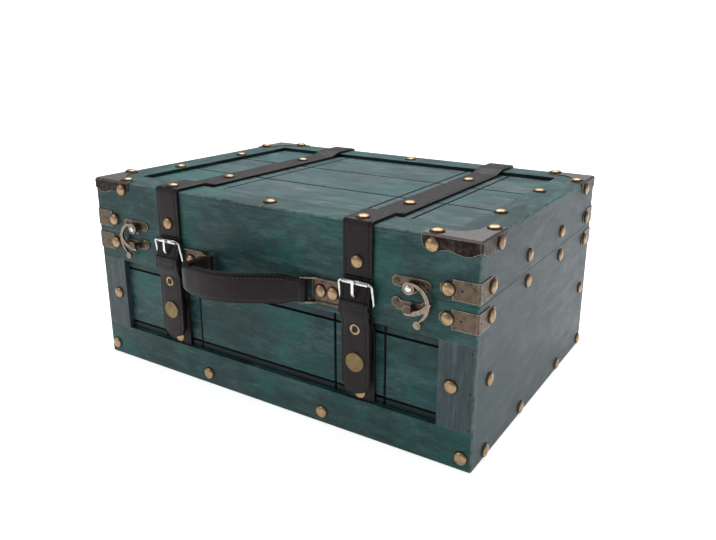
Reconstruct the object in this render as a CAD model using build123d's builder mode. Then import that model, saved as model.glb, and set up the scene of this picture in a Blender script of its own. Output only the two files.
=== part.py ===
from build123d import *
from math import cos, hypot, sin, sqrt
import os

# Wooden keepsake trunk with a hinged lid, leather straps, buckles and swing-hook latches.
# The origin is the centre of the bottom face, the front is at -Y and +Z is up.

# Driving dimensions of the box
WIDTH = 380.0
DEPTH = 266.0
HEIGHT = 171.0
PARTING = 126.0
PARTING_GAP = 0.4
EDGE_CUT = 1.0

# Boards
FRAME = 28.5
FRAME_THICK = 4.5
PANEL_THICK = 8.0
WALL_THICK = 10.0
BOTTOM_THICK = 7.0
TOP_RAIL_THICK = 3.5
PLANK_THICK = 7.0
PLANK_GAP = 0.4
GROOVE_WIDTH = 2.2
GROOVE_DEPTH = 1.6
GROOVE_X = (71.5, 116.0)
PANEL_GROOVE_Z = (36.5, 89.0)

# Leather
STRAP_X = 96.0
STRAP_WIDTH = 25.0
LEATHER = 2.5

# Dome nails
NAIL_HEAD = 11.0
NAIL_HEIGHT = 2.8
NAIL_SIDES = 8
STRAP_NAIL_Z = 142.5
STRAP_NAIL_Y = (-127.5, -59.0, 53.0)
UNDER_STRAP_NAIL_Z = 37.0

# Small round metal is modelled with flat sides, few because so much of it repeats
ROUND_SIDES = 12
BORE_SIDES = 8

# Stamped sheet metal
SHEET = 0.8
CAP_LEG_X = 44.0
CAP_LEG_Y = 42.0
CAP_LEG_WIDTH = 13.0
CAP_FLAP = 11.5
CAP_WEB = 18.5
PLATE_LENGTH = 28.5
PLATE_HEIGHT = 14.6
PLATE_TAB = 9.6
LID_PLATE_Z = PARTING + 9.6
BASE_PLATE_Z = PARTING - 11.8

# Places worked out from the driving dimensions
SIDE = WIDTH / 2
FRONT = -DEPTH / 2
BACK = DEPTH / 2
BASE_TOP = PARTING - PARTING_GAP / 2
LID_BOTTOM = PARTING + PARTING_GAP / 2
PANEL_FACE = FRONT + FRAME_THICK
PANEL_INSIDE = PANEL_FACE + PANEL_THICK
INNER_X = SIDE - WALL_THICK
INNER_Y = BACK - WALL_THICK
FIELD_X = SIDE - FRAME
FIELD_Y = BACK - FRAME
RAIL_TOP = PARTING - FRAME
PLANK_TOP = HEIGHT - TOP_RAIL_THICK
PLANK_JOINT_Y = FIELD_Y / 3
SIDES = (("left", -1), ("right", 1))

# Places on the front, where each strap's tail, buckle and keeper hang from the lid strap
FLEX_Z = PARTING + 4.5
FLEX_Y = FRONT - LEATHER / 2
STRAP_SEAM = 0.1
ROLLER_Z = PARTING + 1.5
ROLLER_Y = FRONT - 5.4
ROLLER_RADIUS = 1.9
BAR_Z = 110.5
BAR_Y = FRONT - 2.4
BAR_RADIUS = 1.1
BUCKLE_WIDTH = 28.4
BUCKLE_CUT = 1.4
TAIL_FACE = FRONT - 3.0
TAIL_TIP_Z = 39.0
SNAP_Z = 65.0
SNAP_RADIUS = 8.0
SNAP_POST = 3.9
EYELET_Z = 91.2
EYELET_TUBE = 3.0
EYELET_BORE = 2.3
EYELET_RIM = 4.4
STRAP_ARC = 2.25
KEEPER_Z = 102.6
KEEPER_HEIGHT = 5.8
KEEPER_APRON = 5.4
KEEPER_THICK = 1.2
SOCKET_DEPTH = 3.6
SOCKET_RADIUS = 6.2
STUD_RADIUS = 3.0
STUD_FLANGE = 0.7
STUD_HEIGHT = 3.0
PANEL_STRAP_FACE = PANEL_FACE - LEATHER
UNDER_STRAP_TOP = 101.5

# The carrying handle on the front
HANDLE_Z = 113.0
HANDLE_NAIL_X = (62.0, 73.4)
HANDLE_BAR_X = 48.5
HANDLE_BAR_Y = FRONT - 5.8
HANDLE_BAR_RADIUS = 1.4
HANDLE_THICK = 5.0
HANDLE_WIDTH = 23.0
HANDLE_END = 18.4
HANDLE_LOOP = HANDLE_THICK / 2 + 1.7
BRACKET_HEIGHT = 21.0
BRACKET_IN = 56.0
BRACKET_OUT = 80.2
EAR_RADIUS = 2.6
BEAD = 1.2

# Latches and hinges
LATCH_X = 139.5
LATCH_Z = PARTING + 5.5
PEG_DROP = 15.0
PEG_RADIUS = 1.5
LATCH_SHEET = 1.0
LOBE_X = 11.5
LOBE_RADIUS = 4.0
SCREW_HEAD_RADIUS = 2.0
SCREW_HEAD = 0.8
PLATE_LOBE_RISE = 2.6
CATCH_LOBE_RISE = 1.6
RIVET_RADIUS = 1.6
RIVET_HEAD = 2.7
HOOK_GAP = 2.8
HOOK_THICK = 1.8
TONGUE_WIDTH = 3.2
TONGUE_ANGLES = (-0.16, 0.56, 1.12)
HINGE_X = 140.0
HINGE_WIDTH = 30.0
HINGE_LEAF = 14.0
KNUCKLE_RADIUS = 2.6
KNUCKLE_LENGTH = HINGE_WIDTH / 3
KNUCKLE_Y = BACK + KNUCKLE_RADIUS
PIN_RADIUS = 1.2

os.makedirs("parts", exist_ok=True)


def save(builder, label):
    builder.part.label = label
    export_step(builder.part, f"parts/{label}.step")


def face_plane(normal, x, y, z):
    """A plane on one face of the trunk, its own x axis level and its normal outwards."""
    level = {"front": (1, 0, 0), "back": (-1, 0, 0), "right": (0, 1, 0), "left": (0, -1, 0), "top": (1, 0, 0)}
    out = {"front": (0, -1, 0), "back": (0, 1, 0), "right": (1, 0, 0), "left": (-1, 0, 0), "top": (0, 0, 1)}
    return Plane((x, y, z), x_dir=level[normal], z_dir=out[normal])


# Outer forms of the two halves, used to ease the boards' edges and to seat the metal on them
def outer_form(low, high, eased_end, skin):
    cut = EDGE_CUT + skin * (2 - sqrt(2))
    with BuildPart() as form:
        with BuildSketch(Plane.XY.offset(low - (skin if eased_end == "bottom" else 0))) as outline:
            Rectangle(WIDTH + 2 * skin, DEPTH + 2 * skin)
            chamfer(outline.vertices(), cut)
        extrude(amount=high - low + skin)
        eased_face = form.faces().sort_by(Axis.Z)[-1 if eased_end == "top" else 0]
        chamfer(eased_face.edges(), cut)
    return form.part


lid_form = outer_form(LID_BOTTOM, HEIGHT, "top", 0)
base_form = outer_form(0, BASE_TOP, "bottom", 0)
lid_skin = outer_form(LID_BOTTOM, HEIGHT, "top", SHEET)
base_skin = outer_form(0, BASE_TOP, "bottom", SHEET)


# Where the dome nails sit
NAIL_SEAT = {"front": FRONT, "back": BACK, "right": SIDE, "left": -SIDE, "top": HEIGHT}


def nail_on(face, across, up, raised=0.0):
    """The seat of one nail: across and up are measured along the face."""
    seat = NAIL_SEAT[face]
    if face == "top":
        return face_plane(face, across, up, seat + raised)
    if face in ("front", "back"):
        return face_plane(face, across, seat + raised * (1 if face == "back" else -1), up)
    return face_plane(face, seat + raised * (1 if face == "right" else -1), across, up)


def plate_nails(height):
    """Nails through the two flanges of each corner plate."""
    seats = []
    for x_sign in (-1, 1):
        for y_sign, face in ((-1, "front"), (1, "back")):
            flank = "right" if x_sign > 0 else "left"
            seats.append(nail_on(face, x_sign * (SIDE - 22.5), height, SHEET))
            seats.append(nail_on(flank, y_sign * (BACK - 20), height, SHEET))
    return seats


def cap_nails():
    """Two nails on the top of each corner cap and one on each of its flaps."""
    seats = []
    for x_sign in (-1, 1):
        for y_sign, face in ((-1, "front"), (1, "back")):
            flank = "right" if x_sign > 0 else "left"
            seats.append(nail_on("top", x_sign * (SIDE - CAP_LEG_X + 8.5), y_sign * (BACK - 6.2), SHEET))
            seats.append(nail_on("top", x_sign * (SIDE - 6.2), y_sign * (BACK - CAP_LEG_Y + 7), SHEET))
            seats.append(nail_on(face, x_sign * (SIDE - CAP_LEG_X + 8.5), HEIGHT - 6.8, SHEET))
            seats.append(nail_on(flank, y_sign * (BACK - CAP_LEG_Y + 12), HEIGHT - 6.8, SHEET))
    return seats


base_nail_seats = plate_nails(BASE_PLATE_Z)
lid_nail_seats = plate_nails(LID_PLATE_Z) + cap_nails()
for name, sign in SIDES:
    base_nail_seats.append(nail_on("front", sign * 172, 64))
    base_nail_seats.append(nail_on("front", sign * 182, 10.5))
    base_nail_seats.append(nail_on("front", sign * 61, 10.5))
    base_nail_seats.append(nail_on("front", sign * STRAP_X, UNDER_STRAP_NAIL_Z, LEATHER - FRAME_THICK))
    for along in (-40, 40):
        base_nail_seats.append(nail_on(name, along, 117.5))
        lid_nail_seats.append(nail_on(name, along, 138.5))
    for along in (-108, 116):
        base_nail_seats.append(nail_on(name, along, 64))
    for along in (-109, -36, 58, 125):
        base_nail_seats.append(nail_on(name, along, 6.8))
    for across in HANDLE_NAIL_X:
        base_nail_seats.append(nail_on("front", sign * across, HANDLE_Z, SHEET))
    for along in (-50, 38):
        lid_nail_seats.append(nail_on("top", sign * 169, along))
    lid_nail_seats.append(nail_on("front", sign * STRAP_X, STRAP_NAIL_Z, LEATHER))
    lid_nail_seats.append(nail_on("back", sign * STRAP_X, STRAP_NAIL_Z, LEATHER))
    lid_nail_seats.append(nail_on("top", sign * STRAP_X, STRAP_NAIL_Y[0], LEATHER))
    for along in STRAP_NAIL_Y[1:]:
        lid_nail_seats.append(nail_on("top", sign * STRAP_X, along, LEATHER - TOP_RAIL_THICK))
lid_nail_seats.append(nail_on("top", 4, -120))
lid_nail_seats.append(nail_on("top", 0, 116))

# One dome nail's head, its seat at the origin, without the shank that the wood hides
with BuildPart() as dome_nail:
    for height, radius in ((0, 0.5), (0.55, 0.44), (1, 0.22)):
        with BuildSketch(Plane.XY.offset(height * NAIL_HEIGHT)):
            RegularPolygon(radius * NAIL_HEAD, NAIL_SIDES)
    loft(ruled=True)


def nails(seats):
    with BuildPart() as group:
        with Locations(*[seat.location for seat in seats]):
            add(dome_nail.part)
    return group


# Where the small screws of the hinges and latches sit
LEAF_SCREW_X = 10.0
LEAF_SCREW_Z = HINGE_LEAF - 4.5


def leaf_seats(direction):
    height = PARTING + direction * LEAF_SCREW_Z
    return [face_plane("back", sign * HINGE_X + across, BACK + LATCH_SHEET, height)
            for name, sign in SIDES for across in (-LEAF_SCREW_X, LEAF_SCREW_X)]


def latch_seats(height):
    return [face_plane("front", sign * LATCH_X + lobe, FRONT - LATCH_SHEET, height)
            for name, sign in SIDES for lobe in (-LOBE_X, LOBE_X)]


base_screw_seats = leaf_seats(-1) + latch_seats(LATCH_Z - PEG_DROP + CATCH_LOBE_RISE)
lid_screw_seats = leaf_seats(1) + latch_seats(LATCH_Z + PLATE_LOBE_RISE)


save(nails(base_nail_seats), "base_dome_nails")
save(nails(lid_nail_seats), "lid_dome_nails")


# Boards
def board(x, y, z, form):
    """A plain board between the low and high limit on each axis, its outer edges eased."""
    with BuildPart() as wood:
        with BuildSketch(Plane.XY.offset(z[0])):
            with Locations(((x[0] + x[1]) / 2, (y[0] + y[1]) / 2)):
                Rectangle(x[1] - x[0], y[1] - y[0])
        extrude(amount=z[1] - z[0])
        add(form, mode=Mode.INTERSECT)
    return wood


def base_board(label, x, y, z):
    save(board(x, y, z, base_form), label)


def lid_board(label, x, y, z):
    save(board(x, y, z, lid_form), label)


base_board("base_bottom", (-INNER_X, INNER_X), (PANEL_INSIDE, INNER_Y), (0, BOTTOM_THICK))
base_board("base_back", (-INNER_X, INNER_X), (INNER_Y, BACK), (0, BASE_TOP))
base_board("base_end_left", (-SIDE, -INNER_X), (PANEL_FACE, BACK), (0, BASE_TOP))
base_board("base_end_right", (INNER_X, SIDE), (PANEL_FACE, BACK), (0, BASE_TOP))
base_board("base_front_top_rail", (-SIDE, SIDE), (FRONT, PANEL_FACE), (RAIL_TOP, BASE_TOP))
base_board("base_front_bottom_rail", (-SIDE, SIDE), (FRONT, PANEL_FACE), (0, FRAME + 2))
lid_board("lid_front", (-SIDE, SIDE), (FRONT, -INNER_Y), (LID_BOTTOM, PLANK_TOP))
lid_board("lid_back", (-SIDE, SIDE), (INNER_Y, BACK), (LID_BOTTOM, PLANK_TOP))
lid_board("lid_end_left", (-SIDE, -INNER_X), (-INNER_Y, INNER_Y), (LID_BOTTOM, PLANK_TOP))
lid_board("lid_end_right", (INNER_X, SIDE), (-INNER_Y, INNER_Y), (LID_BOTTOM, PLANK_TOP))
lid_board("lid_top_rail_front", (-SIDE, SIDE), (FRONT, -FIELD_Y), (PLANK_TOP, HEIGHT))
lid_board("lid_top_rail_back", (-SIDE, SIDE), (FIELD_Y, BACK), (PLANK_TOP, HEIGHT))

# The matching pairs of upright stiles on the front and of end rails on the lid
with BuildPart() as stiles:
    for name, sign in SIDES:
        outer, inner = sorted((sign * SIDE, sign * FIELD_X))
        add(board((outer, inner), (FRONT, PANEL_FACE), (FRAME + 2, RAIL_TOP), base_form).part)
save(stiles, "base_front_stiles")
with BuildPart() as end_rails:
    for name, sign in SIDES:
        outer, inner = sorted((sign * SIDE, sign * FIELD_X))
        add(board((outer, inner), (-FIELD_Y, FIELD_Y), (PLANK_TOP, HEIGHT), lid_form).part)
save(end_rails, "lid_end_rails")

# Front panel, with V grooves beside the rails and along both sides of each strap
with BuildPart() as base_front_panel:
    with BuildSketch():
        with Locations((0, PANEL_FACE + PANEL_THICK / 2)):
            Rectangle(2 * INNER_X, PANEL_THICK)
    extrude(amount=BASE_TOP)
    with BuildSketch(Plane.YZ.offset(-FIELD_X)):
        with Locations(*[(PANEL_FACE, z) for z in PANEL_GROOVE_Z]):
            Polygon((0, -GROOVE_WIDTH / 2), (GROOVE_DEPTH, 0), (0, GROOVE_WIDTH / 2), align=None)
    extrude(amount=2 * FIELD_X, mode=Mode.SUBTRACT)
    with BuildSketch(Plane.XY.offset(FRAME + 2)):
        with Locations(*[(sign * x, PANEL_FACE) for x in GROOVE_X for sign in (-1, 1)]):
            Polygon((-GROOVE_WIDTH / 2, 0), (GROOVE_WIDTH / 2, 0), (0, GROOVE_DEPTH), align=None)
    extrude(amount=RAIL_TOP - FRAME - 2, mode=Mode.SUBTRACT)
save(base_front_panel, "base_front_panel")

# Lid planks, with bevelled long edges and V grooves along both sides of each strap
for name, low, high in (("front", -INNER_Y, -PLANK_JOINT_Y),
                        ("middle", -PLANK_JOINT_Y, PLANK_JOINT_Y),
                        ("back", PLANK_JOINT_Y, INNER_Y)):
    with BuildPart() as plank:
        with BuildSketch(Plane.XY.offset(PLANK_TOP - PLANK_THICK)):
            with Locations((0, (low + high) / 2)):
                Rectangle(2 * INNER_X, high - low - PLANK_GAP)
        extrude(amount=PLANK_THICK)
        long_edges = plank.faces().sort_by(Axis.Z)[-1].edges().filter_by(Axis.X)
        chamfer([edge for edge in long_edges if abs(edge.center().Y) < FIELD_Y], GROOVE_WIDTH / 2)
        with BuildSketch(Plane.XZ.offset(INNER_Y)):
            with Locations(*[(sign * x, PLANK_TOP) for x in GROOVE_X for sign in (-1, 1)]):
                Polygon((-GROOVE_WIDTH / 2, 0), (0, -GROOVE_DEPTH), (GROOVE_WIDTH / 2, 0), align=None)
        extrude(amount=-2 * INNER_Y, mode=Mode.SUBTRACT)
    save(plank, f"lid_plank_{name}")


# Corner caps: a stamped top with two rounded legs, and two scalloped flaps
def cap_leg(reach):
    """Half of the top's outline, along one leg, from the trunk's edge round the leg's end."""
    return [(reach - 6, -2), (reach - 1.5, 1), (reach, 6), (reach - 2, 11),
            (reach - 8, CAP_LEG_WIDTH), (25, CAP_LEG_WIDTH + 1)]


def cap_scallop(reach):
    """A flap's lower edge from the trunk's corner out: the distance and depth of two lobes and a dip."""
    shares = [(-2, 0.66), (1, 0.7), (7, 0.96), (12, 1), (18, 0.9), (reach - 21, 0.77), (reach - 15, 0.87),
              (reach - 10, 1), (reach - 5, 0.97), (reach - 1.5, 0.7), (reach, 0.2)]
    return [(distance, share * CAP_FLAP) for distance, share in shares]


for name, sign in SIDES:
    for end, end_sign in (("front", -1), ("back", 1)):
        with BuildPart() as cap:
            turned = sign * end_sign
            corner_point = (sign * SIDE, end_sign * BACK, HEIGHT)
            corner = Plane(corner_point, x_dir=(-sign, 0, 0), z_dir=(0, 0, turned))
            with BuildSketch(corner):
                Polygon((-2, -2), *cap_leg(CAP_LEG_X), (CAP_WEB, CAP_WEB),
                        *[(y, x) for x, y in reversed(cap_leg(CAP_LEG_Y))], align=None)
            extrude(amount=2 * SHEET, both=True)
            front_flap = Plane(corner_point, x_dir=(-sign, 0, 0), z_dir=(0, end_sign, 0))
            end_flap = Plane(corner_point, x_dir=(0, -end_sign, 0), z_dir=(sign, 0, 0))
            for flap, leg, up in ((front_flap, CAP_LEG_X, turned), (end_flap, CAP_LEG_Y, -turned)):
                scallop = [(distance, -up * depth) for distance, depth in cap_scallop(leg)]
                with BuildSketch(flap):
                    Polygon((-2, up), *scallop, (leg, up), align=None)
                extrude(amount=2 * SHEET, both=True)
            add(lid_skin, mode=Mode.INTERSECT)
            add(lid_form, mode=Mode.SUBTRACT)
        save(cap, f"corner_cap_{end}_{name}")


# Metal plates bent round the vertical edges, each flange narrowing to a tab for its nail
def corner_plates(height, skin, form):
    with BuildPart() as plates:
        for x_sign in (-1, 1):
            for y_sign in (-1, 1):
                flank = Plane((x_sign * SIDE, 0, height), x_dir=(0, -y_sign, 0), z_dir=(x_sign, 0, 0))
                front = Plane((0, y_sign * BACK, height), x_dir=(-x_sign, 0, 0), z_dir=(0, y_sign, 0))
                for flange, corner in ((flank, BACK), (front, SIDE)):
                    with BuildSketch(flange.offset(-2)):
                        with Locations((-corner + PLATE_LENGTH / 4, 0)):
                            Rectangle(PLATE_LENGTH / 2 + 10, PLATE_HEIGHT)
                        with Locations((-corner + PLATE_LENGTH / 2, 0)):
                            Rectangle(PLATE_LENGTH - PLATE_TAB, PLATE_TAB)
                        with Locations((-corner + PLATE_LENGTH - PLATE_TAB / 2, 0)):
                            RegularPolygon(PLATE_TAB / 2, BORE_SIDES, major_radius=False, rotation=22.5)
                    extrude(amount=4)
        add(skin, mode=Mode.INTERSECT)
        add(form, mode=Mode.SUBTRACT)
    return plates


save(corner_plates(BASE_PLATE_Z, base_skin, base_form), "base_corner_plates")
save(corner_plates(LID_PLATE_Z, lid_skin, lid_form), "lid_corner_plates")

# Lid straps: up the front, over the rails, down onto the planks and down the back
for name, sign in SIDES:
    with BuildPart() as strap:
        with BuildSketch(Plane.YZ.offset(sign * STRAP_X - STRAP_WIDTH / 2)):
            with BuildLine():
                rise = HEIGHT + LEATHER / 2
                rest = PLANK_TOP + LEATHER / 2
                skin_y = BACK + LEATHER / 2
                bend = [(-skin_y, FLEX_Z + LEATHER / 2 + STRAP_SEAM), (-skin_y, rise), (-FIELD_Y + 1.5, rise),
                        (-FIELD_Y + 15, rest), (FIELD_Y - 15, rest), (FIELD_Y - 1.5, rise), (skin_y, rise),
                        (skin_y, LID_BOTTOM + 1)]
                FilletPolyline(*bend, radius=[STRAP_ARC, 8, 8, 8, 8, STRAP_ARC])
            trace(line_width=LEATHER)
        extrude(amount=STRAP_WIDTH)
    save(strap, f"lid_strap_{name}")

# Strap tails: from the flex line behind the roller, in front of the bar, down to the pointed tip
for name, sign in SIDES:
    strap_x = sign * STRAP_X
    with BuildPart() as tail:
        with BuildSketch(Plane.YZ.offset(strap_x - STRAP_WIDTH / 2)):
            with BuildLine():
                over_bar = BAR_Y - 3.75
                FilletPolyline((FLEX_Y, FLEX_Z), (FLEX_Y - 0.2, FLEX_Z - 3), (over_bar, BAR_Z + 3),
                               (over_bar, KEEPER_Z - 0.8), (TAIL_FACE - LEATHER / 2, KEEPER_Z - 6.2),
                               (TAIL_FACE - LEATHER / 2, TAIL_TIP_Z), radius=[4, 9, 4, 4])
            trace(line_width=LEATHER)
            with Locations((FLEX_Y, FLEX_Z)):
                Circle(LEATHER / 2)
        extrude(amount=STRAP_WIDTH)
        with BuildSketch(Plane.XZ.offset(-FRONT)):
            with BuildLine():
                left = strap_x - STRAP_WIDTH / 2
                right = strap_x + STRAP_WIDTH / 2
                shoulder = TAIL_TIP_Z + 11
                ThreePointArc((left, shoulder), (left + 3.6, TAIL_TIP_Z + 3.6), (strap_x, TAIL_TIP_Z))
                ThreePointArc((strap_x, TAIL_TIP_Z), (right - 3.6, TAIL_TIP_Z + 3.6), (right, shoulder))
                Polyline((right, shoulder), (right, FLEX_Z + 3), (left, FLEX_Z + 3), (left, shoulder))
            make_face()
        extrude(amount=14, mode=Mode.INTERSECT)
        with BuildSketch(Plane.XZ.offset(-FRONT)):
            with Locations((strap_x, BAR_Z + 4.5)):
                Rectangle(3.4, 12)
            with Locations((strap_x, EYELET_Z)):
                RegularPolygon(EYELET_TUBE, BORE_SIDES)
            with Locations((strap_x, SNAP_Z)):
                RegularPolygon(SNAP_POST, BORE_SIDES)
        extrude(amount=14, mode=Mode.SUBTRACT)
    save(tail, f"strap_tail_{name}")

    # Buckle frame: a wire rectangle with its corners cut, its lower bar behind the tail
    with BuildPart() as buckle:
        tilt = Plane((strap_x, BAR_Y, BAR_Z), x_dir=(1, 0, 0), z_dir=(0, BAR_Z - ROLLER_Z, ROLLER_Y - BAR_Y))
        reach = hypot(ROLLER_Z - BAR_Z, ROLLER_Y - BAR_Y)
        with BuildLine(tilt) as wire:
            half = BUCKLE_WIDTH / 2
            cut = BUCKLE_CUT
            Polyline((0, 0), (half - cut, 0), (half, cut), (half, reach - cut), (half - cut, reach),
                     (cut - half, reach), (-half, reach - cut), (-half, cut), (cut - half, 0), close=True)
        with BuildSketch(Plane(wire.line @ 0, z_dir=wire.line % 0)):
            RegularPolygon(BAR_RADIUS, BORE_SIDES)
        sweep(path=wire.line, transition=Transition.RIGHT)
    save(buckle, f"buckle_frame_{name}")

    # Roller: a tube that turns on the buckle's upper bar
    with BuildPart() as roller:
        with BuildSketch(Plane((strap_x, ROLLER_Y, ROLLER_Z), x_dir=(0, 1, 0), z_dir=(1, 0, 0))):
            Circle(ROLLER_RADIUS)
            RegularPolygon(BAR_RADIUS + 0.08, BORE_SIDES, major_radius=False, mode=Mode.SUBTRACT)
        extrude(amount=BUCKLE_WIDTH / 2 - 3, both=True)
    save(roller, f"buckle_roller_{name}")

    # Prong: an eye on the lower bar and a finger through the tail, resting on the roller
    with BuildPart() as prong:
        with BuildSketch(Plane.YZ.offset(strap_x - 1.1)):
            with Locations((BAR_Y, BAR_Z)):
                RegularPolygon(BAR_RADIUS + 0.95, ROUND_SIDES)
            with BuildLine():
                over_leather = ROLLER_Y - 3.0
                FilletPolyline((BAR_Y, BAR_Z + 1.4), (BAR_Y - 3.2, BAR_Z + 4.4), (over_leather, BAR_Z + 9.5),
                               (over_leather, ROLLER_Z + 2.4), radius=1.8)
            trace(line_width=1.6)
            with Locations((BAR_Y, BAR_Z)):
                Circle(BAR_RADIUS + 0.06, mode=Mode.SUBTRACT)
        extrude(amount=2.2)
    save(prong, f"buckle_prong_{name}")

    # Keeper: a leather loop round the tail, taller in front than behind
    with BuildPart() as keeper:
        keeper_y = BAR_Y - 3.75
        with BuildSketch(Plane.XY.offset(KEEPER_Z)) as loop:
            with Locations((strap_x, keeper_y)):
                Rectangle(STRAP_WIDTH + 2 * KEEPER_THICK, LEATHER + 2 * KEEPER_THICK)
                chamfer(loop.vertices(), KEEPER_THICK / 2)
                Rectangle(STRAP_WIDTH, LEATHER, mode=Mode.SUBTRACT)
        extrude(amount=KEEPER_HEIGHT)
        with BuildSketch(Plane.XY.offset(KEEPER_Z + KEEPER_HEIGHT)):
            with Locations((strap_x, keeper_y - LEATHER / 2 - KEEPER_THICK / 2)):
                Rectangle(STRAP_WIDTH, KEEPER_THICK)
        extrude(amount=KEEPER_APRON)
    save(keeper, f"strap_keeper_{name}")

    # Eyelet: a tube through the tail, rolled over into a rim in front
    with BuildPart() as eyelet:
        strap_face = TAIL_FACE - LEATHER
        with BuildSketch(face_plane("front", strap_x, TAIL_FACE, EYELET_Z)):
            RegularPolygon(EYELET_TUBE, BORE_SIDES)
        extrude(amount=LEATHER)
        with BuildSketch(face_plane("front", strap_x, strap_face, EYELET_Z)):
            RegularPolygon(EYELET_RIM, ROUND_SIDES)
        extrude(amount=0.7)
        chamfer(eyelet.faces().sort_by(Axis.Y)[0].edges(), 0.35)
        with BuildSketch(face_plane("front", strap_x, TAIL_FACE, EYELET_Z)):
            RegularPolygon(EYELET_BORE, BORE_SIDES)
        extrude(amount=LEATHER + 1, mode=Mode.SUBTRACT)
    save(eyelet, f"strap_eyelet_{name}")

    # Snap button: a domed cap in front, its post through the leather and a socket ring behind
    with BuildPart() as snap_cap:
        for seat, radius in ((strap_face, SNAP_RADIUS), (strap_face - 0.8, 0.95 * SNAP_RADIUS)):
            with BuildSketch(face_plane("front", strap_x, seat, SNAP_Z)):
                RegularPolygon(radius, 2 * BORE_SIDES)
            extrude(amount=0.8)
        chamfer(snap_cap.faces().sort_by(Axis.Y)[0].edges(), 0.6)
        with BuildSketch(face_plane("front", strap_x, TAIL_FACE, SNAP_Z)):
            RegularPolygon(SNAP_POST, BORE_SIDES)
        extrude(amount=LEATHER)
        with BuildSketch(face_plane("front", strap_x, TAIL_FACE + SOCKET_DEPTH, SNAP_Z)):
            RegularPolygon(SOCKET_RADIUS, ROUND_SIDES)
        extrude(amount=SOCKET_DEPTH)
        with BuildSketch(face_plane("front", strap_x, TAIL_FACE + SOCKET_DEPTH, SNAP_Z)):
            RegularPolygon(STUD_RADIUS + 0.1, BORE_SIDES, major_radius=False)
        extrude(amount=SOCKET_DEPTH - 0.4, mode=Mode.SUBTRACT)
    save(snap_cap, f"snap_cap_{name}")

    # Under-strap: over the top rail, down into the recess and along the panel to the bottom rail
    with BuildPart() as under_strap:
        with BuildSketch(Plane.YZ.offset(strap_x - STRAP_WIDTH / 2)):
            with BuildLine():
                over_rail = FRONT - LEATHER / 2
                in_recess = PANEL_FACE - LEATHER / 2
                FilletPolyline((over_rail, UNDER_STRAP_TOP), (over_rail, RAIL_TOP - 1.5),
                               (in_recess, RAIL_TOP - 9), (in_recess, FRAME + 2.1), radius=3)
            trace(line_width=LEATHER)
        extrude(amount=STRAP_WIDTH)
    save(under_strap, f"under_strap_{name}")

# Snap studs: a flange on each under-strap and a post for the socket
with BuildPart() as snap_studs:
    for name, sign in SIDES:
        stud = face_plane("front", sign * STRAP_X, PANEL_STRAP_FACE, SNAP_Z)
        with BuildSketch(stud):
            RegularPolygon(SOCKET_RADIUS, ROUND_SIDES)
        extrude(amount=STUD_FLANGE)
        with BuildSketch(stud.offset(STUD_FLANGE)):
            RegularPolygon(STUD_RADIUS, BORE_SIDES)
        extrude(amount=STUD_HEIGHT)
save(snap_studs, "snap_studs")

# Handle: a double leather strap folded round a bar at each end and bowed away from the front
with BuildPart() as handle_strap:
    with BuildSketch(Plane.XY.offset(HANDLE_Z - HANDLE_WIDTH / 2)):
        with Locations((-HANDLE_BAR_X, HANDLE_BAR_Y), (HANDLE_BAR_X, HANDLE_BAR_Y)):
            RegularPolygon(HANDLE_LOOP, ROUND_SIDES)
        with BuildLine():
            FilletPolyline((-HANDLE_BAR_X, HANDLE_BAR_Y), (-54.5, FRONT - 34.5), (-8, FRONT - 38),
                           (HANDLE_BAR_X, HANDLE_BAR_Y), radius=[14, 60])
        trace(line_width=HANDLE_THICK)
        with Locations((-HANDLE_BAR_X, HANDLE_BAR_Y), (HANDLE_BAR_X, HANDLE_BAR_Y)):
            RegularPolygon(HANDLE_BAR_RADIUS + 0.05, BORE_SIDES, major_radius=False, mode=Mode.SUBTRACT)
    extrude(amount=HANDLE_WIDTH)
    with BuildSketch(face_plane("front", 0, FRONT, HANDLE_Z)):
        narrow = (HANDLE_BAR_X + 12, HANDLE_END / 2)
        neck = (44, HANDLE_END / 2)
        wide = (34, HANDLE_WIDTH / 2)
        upper = [(-x, z) for x, z in (narrow, neck, wide)] + [wide, neck, narrow]
        Polygon(*upper, *[(x, -z) for x, z in reversed(upper)], align=None)
    extrude(amount=50, mode=Mode.INTERSECT)
save(handle_strap, "handle_strap")

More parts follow.
